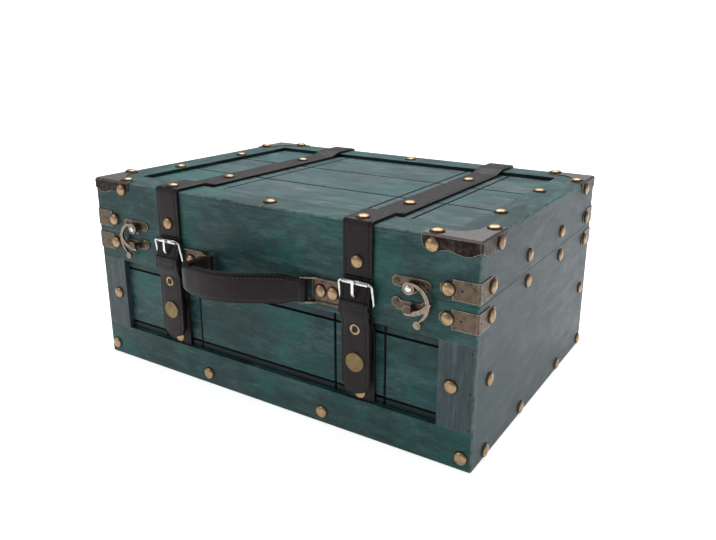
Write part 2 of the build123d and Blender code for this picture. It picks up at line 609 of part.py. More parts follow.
# Handle brackets: a plate with a bead along its upper and lower edge, and two ears for the upright bar
for name, sign in SIDES:
    with BuildPart() as bracket:
        middle = sign * (BRACKET_IN + BRACKET_OUT) / 2
        half = BRACKET_HEIGHT / 2
        bar_x = sign * HANDLE_BAR_X
        with BuildSketch(face_plane("front", middle, FRONT, HANDLE_Z)) as plate:
            Rectangle(BRACKET_OUT - BRACKET_IN, BRACKET_HEIGHT)
            chamfer(plate.vertices(), 1.2)
        extrude(amount=SHEET)
        with BuildSketch(Plane.YZ.offset(middle)):
            with Locations((FRONT - BEAD, HANDLE_Z + half - BEAD), (FRONT - BEAD, HANDLE_Z - half + BEAD)):
                RegularPolygon(BEAD, BORE_SIDES, rotation=22.5, major_radius=False)
        extrude(amount=(BRACKET_OUT - BRACKET_IN) / 2 - 1, both=True)
        with BuildSketch(Plane.XY.offset(HANDLE_Z - half)):
            inner = sign * BRACKET_IN
            root = inner + sign * 3
            Polygon((inner, FRONT), (root, FRONT), (root, FRONT - 2 * BEAD),
                    (bar_x, HANDLE_BAR_Y - EAR_RADIUS), (bar_x, HANDLE_BAR_Y + EAR_RADIUS), align=None)
            with Locations((bar_x, HANDLE_BAR_Y)):
                RegularPolygon(EAR_RADIUS, BORE_SIDES)
        extrude(amount=BRACKET_HEIGHT)
        with BuildSketch(Plane.XY.offset(HANDLE_Z - HANDLE_END / 2 - 0.1)):
            with Locations((bar_x, FRONT - SHEET - 6)):
                Rectangle(2 * (BRACKET_IN - HANDLE_BAR_X + 3), 12)
        extrude(amount=HANDLE_END + 0.2, mode=Mode.SUBTRACT)
        with BuildSketch(Plane.XY.offset(HANDLE_Z - half)):
            with Locations((bar_x, HANDLE_BAR_Y)):
                RegularPolygon(HANDLE_BAR_RADIUS, BORE_SIDES)
        extrude(amount=BRACKET_HEIGHT)
    save(bracket, f"handle_bracket_{name}")

# Swing-hook latches
for name, sign in SIDES:
    lid_side = face_plane("front", sign * LATCH_X, FRONT, LATCH_Z)
    base_side = face_plane("front", sign * LATCH_X, FRONT, LATCH_Z - PEG_DROP)

    # Lid plate: a body round the rivet between two screw lobes
    with BuildPart() as latch_plate:
        with BuildSketch(lid_side):
            RegularPolygon(5.2, ROUND_SIDES)
            with Locations((-LOBE_X, PLATE_LOBE_RISE), (LOBE_X, PLATE_LOBE_RISE)):
                RegularPolygon(LOBE_RADIUS, ROUND_SIDES)
            with Locations((0, PLATE_LOBE_RISE)):
                Rectangle(2 * LOBE_X, 2 * LOBE_RADIUS)
            RegularPolygon(RIVET_RADIUS, BORE_SIDES, major_radius=False, mode=Mode.SUBTRACT)
        extrude(amount=LATCH_SHEET)
    save(latch_plate, f"latch_plate_{name}")

    # Base catch: a plate with two screw lobes and a square-headed peg
    with BuildPart() as latch_catch:
        with BuildSketch(base_side):
            with Locations((-LOBE_X, CATCH_LOBE_RISE), (LOBE_X, CATCH_LOBE_RISE)):
                RegularPolygon(LOBE_RADIUS, ROUND_SIDES)
            Rectangle(2 * LOBE_X, 7)
        extrude(amount=LATCH_SHEET)
        peg_length = HOOK_GAP + HOOK_THICK + 0.1
        with BuildSketch(base_side.offset(LATCH_SHEET)):
            RegularPolygon(PEG_RADIUS, BORE_SIDES)
        extrude(amount=peg_length)
        with BuildSketch(base_side.offset(LATCH_SHEET + peg_length)) as peg_head:
            Rectangle(5.6, 6.2)
            chamfer(peg_head.vertices(), 0.8)
        extrude(amount=1.4)
    save(latch_catch, f"latch_catch_{name}")

    # Hook: a hub on the rivet, a crescent arm with a ball tip and a tongue under the peg
    with BuildPart() as hook:
        hook_face = lid_side.offset(LATCH_SHEET + HOOK_GAP)
        tongue_in = PEG_DROP + PEG_RADIUS + 0.08
        tongue_out = tongue_in + TONGUE_WIDTH
        with BuildSketch(hook_face):
            RegularPolygon(4.6, ROUND_SIDES)
            with BuildLine():
                ThreePointArc((-sign * 3.5, 3), (sign * 12.4, -5), (sign * 6.2, -24))
                ThreePointArc((sign * 6.2, -24), (sign * 16.6, -8.5), (-sign * 3.5, 3))
            make_face()
            with Locations((sign * 7.4, -25.6)):
                RegularPolygon(3.0, ROUND_SIDES)
            with BuildLine():
                inner = [(sign * tongue_in * sin(a), -tongue_in * cos(a)) for a in TONGUE_ANGLES]
                outer = [(sign * tongue_out * sin(a), -tongue_out * cos(a)) for a in TONGUE_ANGLES]
                ThreePointArc(*inner)
                Line(inner[-1], outer[-1])
                ThreePointArc(*reversed(outer))
                Line(outer[0], inner[0])
            make_face()
            RegularPolygon(RIVET_RADIUS + 0.06, BORE_SIDES, major_radius=False, mode=Mode.SUBTRACT)
        extrude(amount=HOOK_THICK)
        with BuildSketch(hook_face):
            RegularPolygon(3.6, ROUND_SIDES)
            RegularPolygon(RIVET_RADIUS + 0.06, BORE_SIDES, major_radius=False, mode=Mode.SUBTRACT)
        extrude(amount=0.05 - HOOK_GAP)
    save(hook, f"latch_hook_{name}")

# Rivets: the pins that the hooks turn on, with domed silver heads
with BuildPart() as rivets:
    rivet_reach = LATCH_SHEET + HOOK_GAP + HOOK_THICK + 0.1
    for name, sign in SIDES:
        with BuildSketch(face_plane("front", sign * LATCH_X, FRONT, LATCH_Z)):
            Circle(RIVET_RADIUS)
        extrude(amount=rivet_reach)
        with BuildSketch(face_plane("front", sign * LATCH_X, FRONT - rivet_reach, LATCH_Z)):
            RegularPolygon(RIVET_HEAD, ROUND_SIDES)
        extrude(amount=1.0)
    chamfer(rivets.faces().sort_by(Axis.Y)[:2].edges(), 0.45)
save(rivets, "latch_rivets")


# Hinges on the back: screwed leaves, two base knuckles round one lid knuckle, and a pin
def hinge_leaves(direction, knuckles):
    with BuildPart() as leaves:
        for name, sign in SIDES:
            with BuildSketch(face_plane("back", sign * HINGE_X, BACK, PARTING)):
                with Locations((0, direction * (HINGE_LEAF + 3) / 2)):
                    Rectangle(HINGE_WIDTH, HINGE_LEAF - 3)
                with Locations(*[(x, direction * 2) for x in knuckles]):
                    Rectangle(KNUCKLE_LENGTH - 0.4, 5)
            extrude(amount=LATCH_SHEET)
            for x in knuckles:
                middle = (sign * HINGE_X + x, KNUCKLE_Y, PARTING)
                with BuildSketch(Plane(middle, x_dir=(0, 1, 0), z_dir=(1, 0, 0))):
                    RegularPolygon(KNUCKLE_RADIUS, ROUND_SIDES)
                    RegularPolygon(PIN_RADIUS + 0.05, BORE_SIDES, major_radius=False, mode=Mode.SUBTRACT)
                extrude(amount=KNUCKLE_LENGTH / 2 - 0.2, both=True)
    return leaves


save(hinge_leaves(-1, (-KNUCKLE_LENGTH, KNUCKLE_LENGTH)), "hinge_base_leaves")
save(hinge_leaves(1, (0,)), "hinge_lid_leaves")

with BuildPart() as hinge_pins:
    for name, sign in SIDES:
        with BuildSketch(Plane((sign * HINGE_X, KNUCKLE_Y, PARTING), x_dir=(0, 1, 0), z_dir=(1, 0, 0))):
            Circle(PIN_RADIUS)
        extrude(amount=HINGE_WIDTH / 2, both=True)
save(hinge_pins, "hinge_pins")


# Heads of the small screws in the latches and hinges
def small_screws(seats):
    with BuildPart() as screws:
        for seat in seats:
            with BuildSketch(seat):
                RegularPolygon(SCREW_HEAD_RADIUS, BORE_SIDES)
            extrude(amount=SCREW_HEAD)
    return screws


save(small_screws(base_screw_seats), "base_screws")
save(small_screws(lid_screw_seats), "lid_screws")
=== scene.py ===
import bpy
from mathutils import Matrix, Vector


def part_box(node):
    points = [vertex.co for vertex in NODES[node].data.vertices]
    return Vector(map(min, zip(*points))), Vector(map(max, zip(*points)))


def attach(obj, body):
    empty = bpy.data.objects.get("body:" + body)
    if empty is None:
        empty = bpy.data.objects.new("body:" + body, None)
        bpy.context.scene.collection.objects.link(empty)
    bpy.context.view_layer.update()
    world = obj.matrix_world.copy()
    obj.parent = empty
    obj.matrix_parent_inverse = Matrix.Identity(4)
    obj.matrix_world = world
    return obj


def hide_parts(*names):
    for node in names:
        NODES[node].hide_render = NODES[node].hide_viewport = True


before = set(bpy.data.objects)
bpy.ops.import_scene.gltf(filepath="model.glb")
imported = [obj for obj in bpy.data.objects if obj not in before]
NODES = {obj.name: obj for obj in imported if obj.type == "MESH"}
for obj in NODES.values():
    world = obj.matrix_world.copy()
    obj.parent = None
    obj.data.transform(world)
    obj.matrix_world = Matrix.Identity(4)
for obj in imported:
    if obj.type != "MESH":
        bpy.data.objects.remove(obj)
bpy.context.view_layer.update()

import math
import random

import bmesh
import bpy
from mathutils import Matrix, Vector

# Wooden trunk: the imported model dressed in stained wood, leather and aged metal.
# Lengths are in metres, apart from the profiles and paths, which are in millimetres.
# The front looks to -Y.
MM = 0.001
SIDES = (("left", -1), ("right", 1))
RIGHTWARD = Vector((1, 0, 0))
FORWARD = Vector((0, -1, 0))
UPWARD = Vector((0, 0, 1))

# Sizes and places that the CAD model gives
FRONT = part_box("base_front_top_rail")[0].y
END_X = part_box("base_end_right")[1].x
STRAP_X = 96 * MM
STRAP_HALF = 12.5 * MM
STRAP_THICK = 2.5 * MM
KEEPER_THICK = 1.2 * MM
HANDLE_Z = 113 * MM
HANDLE_THICK = 5.0 * MM
HANDLE_BAR = Vector((48.5 * MM, FRONT - 5.8 * MM))
BUCKLE_LOW = Vector((0, FRONT - 2.4 * MM, 110.5 * MM))
BUCKLE_HIGH = Vector((0, FRONT - 5.4 * MM, 127.5 * MM))
BUCKLE_HALF = 14.2 * MM
WIRE_RADIUS = 1.1 * MM
ROLLER_HALF = 11.2 * MM
LATCH_X = 139.5 * MM
LATCH_Z = 131.5 * MM

# Limits between the inside and the outside of the box, and round the recesses, where painted shade goes
INSIDE_X = 180.3 * MM
INSIDE_Y = 123.3 * MM
INSIDE_Z = (2 * MM, 166 * MM)
TOP_RECESS_X = 172 * MM
TOP_RECESS_Y = 112 * MM
TOP_RECESS_Z = 166.6 * MM
PANEL_MARGIN_Z = (36.6 * MM, 88.9 * MM)

# Colours, linear
TEAL_DARK = (0.005, 0.020, 0.023)
TEAL = (0.014, 0.066, 0.062)
TEAL_BRIGHT = (0.012, 0.150, 0.128)
TEAL_WASH = (0.115, 0.205, 0.208)
# The top's middle and wash tones are paler and greyer, as a painted sheen from above
TOP_TEAL_SHEEN = (0.040, 0.088, 0.096)
TOP_WASH_AND_SHEEN = (0.185, 0.235, 0.260)
END_DARK = (0.026, 0.046, 0.052)
END_TEAL = (0.044, 0.074, 0.080)
END_BRIGHT = (0.040, 0.095, 0.097)
END_WASH = (0.085, 0.118, 0.130)
STILE_DARK = (0.028, 0.045, 0.048)
STILE = (0.065, 0.098, 0.102)
STILE_WASH = (0.19, 0.23, 0.235)
WORN_WOOD = (0.20, 0.24, 0.23)
# Black of the grooves, and also the painted shade in the recesses and margins
GROOVE_AND_SHADE_BLACK = (0.002, 0.004, 0.004)
INSIDE_WOOD = (0.34, 0.235, 0.135)
LEATHER = (0.0075, 0.0048, 0.0052)
LEATHER_WORN = (0.022, 0.0135, 0.014)
LEATHER_EDGE = (0.085, 0.060, 0.058)
LEATHER_LINE = (0.002, 0.0015, 0.0015)
THREAD = (0.085, 0.060, 0.055)
THREAD_DARK = (0.03, 0.02, 0.018)
BRASS = (0.36, 0.25, 0.145)
BRASS_DARK = (0.10, 0.062, 0.036)
BRASS_DULL = (0.175, 0.13, 0.06)
BRONZE = (0.115, 0.087, 0.064)
BRONZE_DARK = (0.026, 0.018, 0.014)
# Bright worn edges, which also serve as painted highlights on rolled edges
BRONZE_WORN_AND_GLINT = (0.58, 0.48, 0.39)
# Caps: the tops paler as a painted sheen, the sides darker, partly patina and partly painted shade
CAP_TOP_SHEEN = (0.155, 0.142, 0.148)
CAP_SIDE_PATINA_SHADE = (0.020, 0.013, 0.011)
HOOK = (0.24, 0.195, 0.145)
CHROME = (0.66, 0.65, 0.63)
CHROME_DULL = (0.30, 0.29, 0.28)
# Painted shade inside the holes
HOLE_SHADE_DARK = (0.003, 0.003, 0.003)
HOLE_SHADE_LIGHT = (0.01, 0.009, 0.008)


# Materials
class Shader:
    """A material being built: its node tree and its Principled shader."""

    def __init__(self, name):
        self.material = bpy.data.materials.new(name)
        self.material.use_nodes = True
        self.tree = self.material.node_tree
        self.bsdf = self.tree.nodes["Principled BSDF"]
        self.place = self.node("ShaderNodeTexCoord").outputs["Object"]

    def node(self, kind, **settings):
        made = self.tree.nodes.new(kind)
        for key, value in settings.items():
            setattr(made, key, value)
        return made

    def feed(self, socket, value):
        """Links another node's output to a socket, or sets the socket to a number or a colour."""
        if hasattr(value, "links"):
            self.tree.links.new(value, socket)
        elif isinstance(value, tuple) and len(value) < len(socket.default_value):
            socket.default_value = (*value, 1)
        else:
            socket.default_value = value

    def noise(self, scale, detail=3.0, roughness=0.55, distortion=0.0, stretch=(1, 1, 1)):
        mapping = self.node("ShaderNodeMapping")
        self.feed(mapping.inputs["Scale"], stretch)
        self.feed(mapping.inputs["Vector"], self.place)
        noise = self.node("ShaderNodeTexNoise")
        self.feed(noise.inputs["Scale"], scale)
        self.feed(noise.inputs["Detail"], detail)
        self.feed(noise.inputs["Roughness"], roughness)
        self.feed(noise.inputs["Distortion"], distortion)
        self.feed(noise.inputs["Vector"], mapping.outputs["Vector"])
        return noise.outputs["Fac"]

    def ramp(self, factor, stops):
        """A colour ramp whose stops are (position, colour), where a number stands for a grey."""
        ramp = self.node("ShaderNodeValToRGB")
        elements = ramp.color_ramp.elements
        while len(elements) < len(stops):
            elements.new(0.5)
        for element, (position, colour) in zip(elements, stops):
            element.position = position
            value = colour if isinstance(colour, tuple) else (colour, colour, colour)
            element.color = (*value, 1)
        self.feed(ramp.inputs["Fac"], factor)
        return ramp.outputs["Color"]

    def mix(self, factor, first, second, blend="MIX"):
        mix = self.node("ShaderNodeMix", data_type="RGBA", blend_type=blend)
        factor_socket, first_socket, second_socket = mix.inputs[0], mix.inputs[6], mix.inputs[7]
        self.feed(factor_socket, factor)
        self.feed(first_socket, first)
        self.feed(second_socket, second)
        return mix.outputs[2]

    def math(self, operation, *values):
        node = self.node("ShaderNodeMath", operation=operation)
        for socket, value in zip(node.inputs, values):
            self.feed(socket, value)
        return node.outputs[0]

    def product(self, *factors):
        total = factors[0]
        for factor in factors[1:]:
            total = self.math("MULTIPLY", total, factor)
        return total

    def axis(self, name):
        """The place along an axis, in metres."""
        split = self.node("ShaderNodeSeparateXYZ")
        self.feed(split.inputs[0], self.place)
        return split.outputs[name]

    def within(self, axis, limit):
        """1 where the place along an axis is nearer to the middle than limit."""
        return self.math("LESS_THAN", self.math("ABSOLUTE", self.axis(axis)), limit)

    def below(self, height):
        return self.math("LESS_THAN", self.axis("Z"), height)

    def above(self, height):
        return self.math("GREATER_THAN", self.axis("Z"), height)

    def edge(self, radius):
        """1 on edges and 0 on flat faces, found by how far a bevel would turn the surface."""
        bevel = self.node("ShaderNodeBevel", samples=6)
        self.feed(bevel.inputs["Radius"], radius)
        geometry = self.node("ShaderNodeNewGeometry")
        dot = self.node("ShaderNodeVectorMath", operation="DOT_PRODUCT")
        self.feed(dot.inputs[0], bevel.outputs[0])
        self.feed(dot.inputs[1], geometry.outputs["Normal"])
        turned = self.math("SUBTRACT", 1.0, dot.outputs["Value"])
        return self.ramp(turned, [(0.02, 0.0), (0.22, 1.0)])

    def facing(self, axis):
        """How far a face turns to an axis, either way: 1 square on, 0 side on."""
        geometry = self.node("ShaderNodeNewGeometry")
        split = self.node("ShaderNodeSeparateXYZ")
        self.feed(split.inputs[0], geometry.outputs["True Normal"])
        return self.math("ABSOLUTE", split.outputs[axis])

    def slanted(self):
        """1 on faces that are square to no axis, such as grooves and eased edges."""
        most = self.math("MAXIMUM", self.facing("X"), self.facing("Y"))
        most = self.math("MAXIMUM", most, self.facing("Z"))
        return self.math("LESS_THAN", most, 0.97)

    def set(self, **inputs):
        """Sets inputs of the Principled shader; an underscore in a name stands for a space."""
        for name, value in inputs.items():
            self.feed(self.bsdf.inputs[name.replace("_", " ")], value)

    def bump(self, height, distance, strength):
        bump = self.node("ShaderNodeBump")
        self.feed(bump.inputs["Distance"], distance)
        self.feed(bump.inputs["Strength"], strength)
        self.feed(bump.inputs["Height"], height)
        self.set(Normal=bump.outputs["Normal"])


BAND_STRETCH = {"X": (0.30, 1, 1), "Y": (1, 0.30, 1), "Z": (1, 1, 0.16)}
FIBRE_STRETCH = {"X": (0.07, 1, 1), "Y": (1, 0.07, 1), "Z": (1, 1, 0.04)}


def stained_wood(name, grain, tones, grooved=False, margins=False):
    """Wood with its grain along one axis. Tones are the stain's dark, middle, bright and wash."""
    dark, middle, bright, wash = tones
    shader = Shader(name)
    fibres = shader.noise(780, 4, 0.72, 0.5, FIBRE_STRETCH[grain])
    bands = shader.noise(105, 6, 0.75, 0.5, BAND_STRETCH[grain])
    clouds = shader.noise(15, 4, 0.62, 0.8)
    veil = shader.noise(36, 6, 0.78, 0.4, BAND_STRETCH[grain])

    # The stain gathers in bands and clouds, under a paler wash
    stain = shader.ramp(bands, [(0.30, dark), (0.50, middle), (0.74, wash)])
    stain = shader.mix(shader.ramp(clouds, [(0.47, 0.0), (0.66, 0.70)]), stain, bright)
    stain = shader.mix(shader.ramp(clouds, [(0.30, 0.55), (0.46, 0.0)]), stain, dark)
    stain = shader.mix(shader.ramp(veil, [(0.50, 0.0), (0.74, 0.55)]), stain, wash)

    # Dark pores and pale flecks follow the fibres
    pores = shader.ramp(fibres, [(0.28, 0.42), (0.50, 1.0), (0.74, 1.0)])
    stain = shader.mix(0.9, stain, pores, "MULTIPLY")
    stain = shader.mix(shader.ramp(fibres, [(0.60, 0.0), (0.76, 0.34)]), stain, wash)
    speckle = shader.ramp(shader.noise(1100, 3, 0.7), [(0.32, 0.66), (0.60, 1.0)])
    stain = shader.mix(0.9, stain, speckle, "MULTIPLY")

    # Painted shade: the walls of the top's recess and the panel's margins are nearly black
    upright = shader.math("LESS_THAN", shader.facing("Z"), 0.5)
    recess_wall_shade = shader.product(shader.within("X", TOP_RECESS_X), shader.within("Y", TOP_RECESS_Y),
                                 upright, shader.above(TOP_RECESS_Z))
    stain = shader.mix(shader.product(recess_wall_shade, 0.85), stain, GROOVE_AND_SHADE_BLACK)
    if margins:
        low, high = PANEL_MARGIN_Z
        stain = shader.mix(shader.product(shader.below(low), 0.82), stain, GROOVE_AND_SHADE_BLACK)
        stain = shader.mix(shader.product(shader.above(high), 0.45), stain, GROOVE_AND_SHADE_BLACK)

    # Slanted faces are black grooves on the grooved boards, and rubbed edges on the others
    if grooved:
        stain = shader.mix(shader.product(shader.slanted(), 0.96), stain, GROOVE_AND_SHADE_BLACK)
    else:
        broken = shader.ramp(shader.noise(150, 4, 0.65), [(0.40, 0.10), (0.64, 0.85)])
        rim = shader.math("MAXIMUM", shader.product(shader.slanted(), 0.9), shader.edge(0.7 * MM))
        stain = shader.mix(shader.product(rim, broken), stain, WORN_WOOD)

    # Bare wood inside the box
    inside = shader.product(shader.within("X", INSIDE_X), shader.within("Y", INSIDE_Y),
                            shader.below(INSIDE_Z[1]), shader.above(INSIDE_Z[0]))
    bare = shader.mix(0.8, INSIDE_WOOD, shader.ramp(bands, [(0.3, 0.62), (0.7, 1.1)]), "MULTIPLY")
    shader.set(Base_Color=shader.mix(inside, stain, bare), Specular_IOR_Level=0.26,
               Roughness=shader.ramp(bands, [(0.25, 0.34), (0.75, 0.58)]))
    shader.bump(shader.math("ADD", fibres, shader.product(bands, 0.6)), 0.16 * MM, 0.6)
    return shader.material


def leather(name, line_axis, centre, line_offset):
    """Dark leather with a pressed line on both sides of centre, measured along line_axis."""
    shader = Shader(name)
    grain = shader.noise(1300, 3, 0.6)
    creases = shader.noise(210, 5, 0.7, 0.9)
    tone = shader.ramp(shader.noise(38, 4, 0.6), [(0.35, LEATHER), (0.70, LEATHER_WORN)])

    # Rubbed edges and scuffs
    rubbed = shader.product(shader.edge(0.9 * MM), shader.ramp(creases, [(0.40, 0.05), (0.62, 0.75)]))
    tone = shader.mix(rubbed, tone, LEATHER_EDGE)
    scuffs = shader.ramp(shader.noise(420, 4, 0.7, 1.5), [(0.62, 0.0), (0.78, 0.35)])
    tone = shader.mix(scuffs, tone, LEATHER_EDGE)

    # The pressed lines, by their distance in millimetres; both straps share one material
    from_middle = shader.math("ABSOLUTE", shader.axis(line_axis))
    from_centre = shader.math("ABSOLUTE", shader.math("SUBTRACT", from_middle, centre))
    from_line = shader.math("ABSOLUTE", shader.math("SUBTRACT", from_centre, line_offset))
    off_line = shader.ramp(shader.product(from_line, 1 / MM), [(0.25, 0.0), (0.95, 1.0)])
    shader.set(Base_Color=shader.mix(off_line, LEATHER_LINE, tone), Specular_IOR_Level=0.20,
               Roughness=shader.ramp(creases, [(0.3, 0.34), (0.7, 0.55)]))
    height = shader.math("ADD", shader.product(grain, 0.30), shader.product(creases, 0.55))
    height = shader.math("ADD", height, shader.product(off_line, 1.6))
    shader.bump(height, 0.30 * MM, 0.7)
    return shader.material


def metal(name, clean, dark, roughness, patina, edge_wear_and_glint=0.0, side=None):
    """Aged metal. Side is the colour of the faces that don't look up, where it differs."""
    shader = Shader(name)
    spots = shader.noise(210, 5, 0.7)
    tone = shader.ramp(spots, [(0.46 - 0.3 * patina, dark), (0.56, clean)])
    tone = shader.mix(shader.ramp(shader.noise(75, 4, 0.6), [(0.38, 0.25), (0.66, 0.85)]), tone, clean)
    # Painted light: faces that look up keep the clean colour as a painted sheen, and the other faces take
    # the side colour, partly patina and partly painted shade
    if side:
        upward = shader.math("GREATER_THAN", shader.facing("Z"), 0.7)
        side_patina_shade_tone = shader.mix(shader.ramp(spots, [(0.45, 0.0), (0.8, 0.35)]), side, clean)
        tone = shader.mix(upward, side_patina_shade_tone, tone)
    # Worn edges, lightened also as painted highlights along the rolled edges
    if edge_wear_and_glint:
        patchy = shader.ramp(spots, [(0.30, 0.35), (0.55, 1.0)])
        rim = shader.product(shader.edge(0.75 * MM), edge_wear_and_glint, patchy)
        tone = shader.mix(rim, tone, BRONZE_WORN_AND_GLINT)
    shader.set(Base_Color=tone, Metallic=1.0,
               Roughness=shader.ramp(spots, [(0.3, roughness + 0.16), (0.7, roughness)]))
    shader.bump(shader.noise(650, 3), 0.05 * MM, 0.35)
    return shader.material


def matt(name, noise_scale, noise_detail, dark, light, roughness):
    """A dull two-tone colour for thread, and for the painted shade in holes."""
    shader = Shader(name)
    tone = shader.ramp(shader.noise(noise_scale, noise_detail), [(0.3, dark), (0.7, light)])
    shader.set(Base_Color=tone, Roughness=roughness)
    return shader.material


TEAL_TONES = (TEAL_DARK, TEAL, TEAL_BRIGHT, TEAL_WASH)
END_TONES = (END_DARK, END_TEAL, END_BRIGHT, END_WASH)
TOP_SHEEN_TONES = (TEAL, TOP_TEAL_SHEEN, TEAL_BRIGHT, TOP_WASH_AND_SHEEN)
STILE_TONES = (STILE_DARK, STILE, STILE, STILE_WASH)
frame_wood = stained_wood("teal_wood_frame", "X", TEAL_TONES)
side_wood = stained_wood("teal_wood_lid_ends", "Y", TEAL_TONES)
panel_wood = stained_wood("teal_wood_panel", "X", TEAL_TONES, grooved=True, margins=True)
# The planks of the top take these paler tones as a painted sheen
plank_wood = stained_wood("teal_wood_planks", "X", TOP_SHEEN_TONES, grooved=True)
end_wood = stained_wood("teal_wood_ends", "Y", END_TONES)
stile_wood = stained_wood("grey_wood_stiles", "Z", STILE_TONES)
strap_leather = leather("strap_leather", "X", STRAP_X, 10.0 * MM)
handle_leather = leather("handle_leather", "Z", HANDLE_Z, 10.9 * MM)
brass = metal("aged_brass", BRASS, BRASS_DARK, 0.26, 0.35)
# The nails' lower bands take this darker brass as painted shade
brass_rim_shade = metal("brass_rim_painted_shade", BRASS_DARK, BRONZE_DARK, 0.42, 0.5)
dull_brass = metal("dull_brass", BRASS_DULL, BRASS_DARK, 0.30, 0.4)
bronze = metal("dark_bronze", BRONZE, BRONZE_DARK, 0.34, 0.5, 0.9)
cap_bronze = metal("cap_bronze", CAP_TOP_SHEEN, BRONZE, 0.36, 0.3, 0.9, side=CAP_SIDE_PATINA_SHADE)
hook_metal = metal("hook_metal", HOOK, BRONZE_DARK, 0.28, 0.5, 0.7)
chrome = metal("bright_chrome", CHROME, CHROME_DULL, 0.14, 0.4)
thread = matt("waxed_thread", 2500, 2, THREAD_DARK, THREAD, 0.6)
hole_shade = matt("hole_painted_shade", 900, 3, HOLE_SHADE_DARK, HOLE_SHADE_LIGHT, 0.9)

# The first line whose beginnings fit a node gives its material
MATERIALS = [
    (("base_front_panel",), panel_wood),
    (("lid_plank",), plank_wood),
    (("base_front_stiles",), stile_wood),
    (("lid_end_rails",), side_wood),
    (("base_end", "lid_end_left", "lid_end_right"), end_wood),
    (("base_dome_nails", "lid_dome_nails", "strap_eyelet"), brass),
    (("snap",), dull_brass),
    (("base_screws", "lid_screws", "base_corner_plates", "lid_corner_plates"), bronze),
    (("base_", "lid_back", "lid_front", "lid_top"), frame_wood),
    (("lid_strap", "strap_tail", "strap_keeper", "under_strap"), strap_leather),
    (("handle_strap",), handle_leather),
    (("corner_cap",), cap_bronze),
    (("latch_hook",), hook_metal),
    (("buckle", "latch_rivets"), chrome),
    (("latch", "hinge", "handle_bracket"), bronze),
]
SOFT_EDGED = ("corner_cap", "latch", "hinge", "handle_bracket", "base_corner_plates", "lid_corner_plates")
for node in NODES:
    slots = NODES[node].data.materials
    slots.clear()
    slots.append(next(material for starts, material in MATERIALS if node.startswith(starts)))
    if node.startswith(SOFT_EDGED):
        bevel = NODES[node].modifiers.new("soft_edges", "BEVEL")
        bevel.width = 0.25 * MM
        bevel.segments = 2
        bevel.limit_method = "ANGLE"
        bevel.angle_limit = math.radians(35)


# Meshes
def finish_piece(bm, name, material, body, second=None):
    """Turns a bmesh into a smooth piece that rides on a body."""
    bmesh.ops.recalc_face_normals(bm, faces=bm.faces)
    mesh = bpy.data.meshes.new(name)
    bm.to_mesh(mesh)
    bm.free()
    mesh.polygons.foreach_set("use_smooth", [True] * len(mesh.polygons))
    mesh.materials.append(material)
    if second:
        mesh.materials.append(second)
    piece = bpy.data.objects.new(name, mesh)
    bpy.context.scene.collection.objects.link(piece)
    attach(piece, body)
    return piece


def crisp_edges(piece):
    split = piece.modifiers.new("crisp_edges", "EDGE_SPLIT")
    split.split_angle = math.radians(50)


def circle(radius, steps):
    angles = [2 * math.pi * i / steps for i in range(steps)]
    return [(radius * math.cos(angle), radius * math.sin(angle)) for angle in angles]


def revolve(bm, profile, seat, steps, second_bands=0):
    """Turns a profile of (radius, height) in millimetres about the z axis of seat.

    The first second_bands bands take the piece's second material.
    """
    rings = []
    for radius, height in profile:
        spots = circle(radius * MM, steps) if radius else [(0, 0)]
        rings.append([bm.verts.new(seat @ Vector((x, y, height * MM))) for x, y in spots])
    for band, (low, high) in enumerate(zip(rings, rings[1:])):
        for i in range(steps):
            corners = [low[i % len(low)], low[(i + 1) % len(low)],
                       high[(i + 1) % len(high)], high[i % len(high)]]
            face = bm.faces.new(list(dict.fromkeys(corners)))
            face.material_index = int(band < second_bands)


def seat_on(point, outward):
    """A place whose origin is at point and whose z axis looks outward."""
    return Matrix.Translation(point) @ outward.to_track_quat("Z", "Y").to_matrix().to_4x4()


def linked_verts(first):
    """All the vertices that edges join to the first."""
    group = [first]
    reached = {first}
    for vert in group:
        for edge in vert.link_edges:
            other = edge.other_vert(vert)
            if other not in reached:
                reached.add(other)
                group.append(other)
    return group


def head_seats(node):
    """The middle of the seat and the outward direction of each loose head in a CAD node."""
    bm = bmesh.new()
    bm.from_mesh(NODES[node].data)
    bmesh.ops.remove_doubles(bm, verts=bm.verts, dist=1e-6)
    middle = Vector((0, 0, 90 * MM))
    done = set()
    found = []
    for first in bm.verts:
        if first in done:
            continue
        group = linked_verts(first)
        done.update(group)
        low = Vector([min(v.co[i] for v in group) for i in range(3)])
        high = Vector([max(v.co[i] for v in group) for i in range(3)])
        size = high - low
        thinnest = min(range(3), key=lambda i: size[i])
        centre = (low + high) / 2
        outward = Vector((0, 0, 0))
        outward[thinnest] = 1 if centre[thinnest] > middle[thinnest] else -1
        found.append((centre - outward * size[thinnest] / 2, outward))
    bm.free()
    return found


def rounded_path(corners, radii, spacing):
    """Points along straight runs joined by arcs of the given radii."""
    points = [corners[0]]
    for before, corner, after, radius in zip(corners, corners[1:], corners[2:], radii):
        back = (before - corner).normalized()
        ahead = (after - corner).normalized()
        half = math.acos(max(-1, min(1, back.dot(ahead)))) / 2
        reach = radius / math.tan(half)
        centre = corner + (back + ahead).normalized() * (radius / math.sin(half))
        start = (corner + back * reach - centre).normalized()
        end = (corner + ahead * reach - centre).normalized()
        steps = max(3, int((math.pi - 2 * half) * radius / spacing))
        points += [centre + start.slerp(end, i / steps) * radius for i in range(steps + 1)]
    points.append(corners[-1])
    return points


def cut_short(path, length, rounding=round):
    """The same path with more points, so that no step is much longer than length."""
    points = []
    for first, second in zip(path, path[1:]):
        pieces = max(1, rounding((second - first).length / length))
        points += [first.lerp(second, i / pieces) for i in range(pieces)]
    return points + [path[-1]]


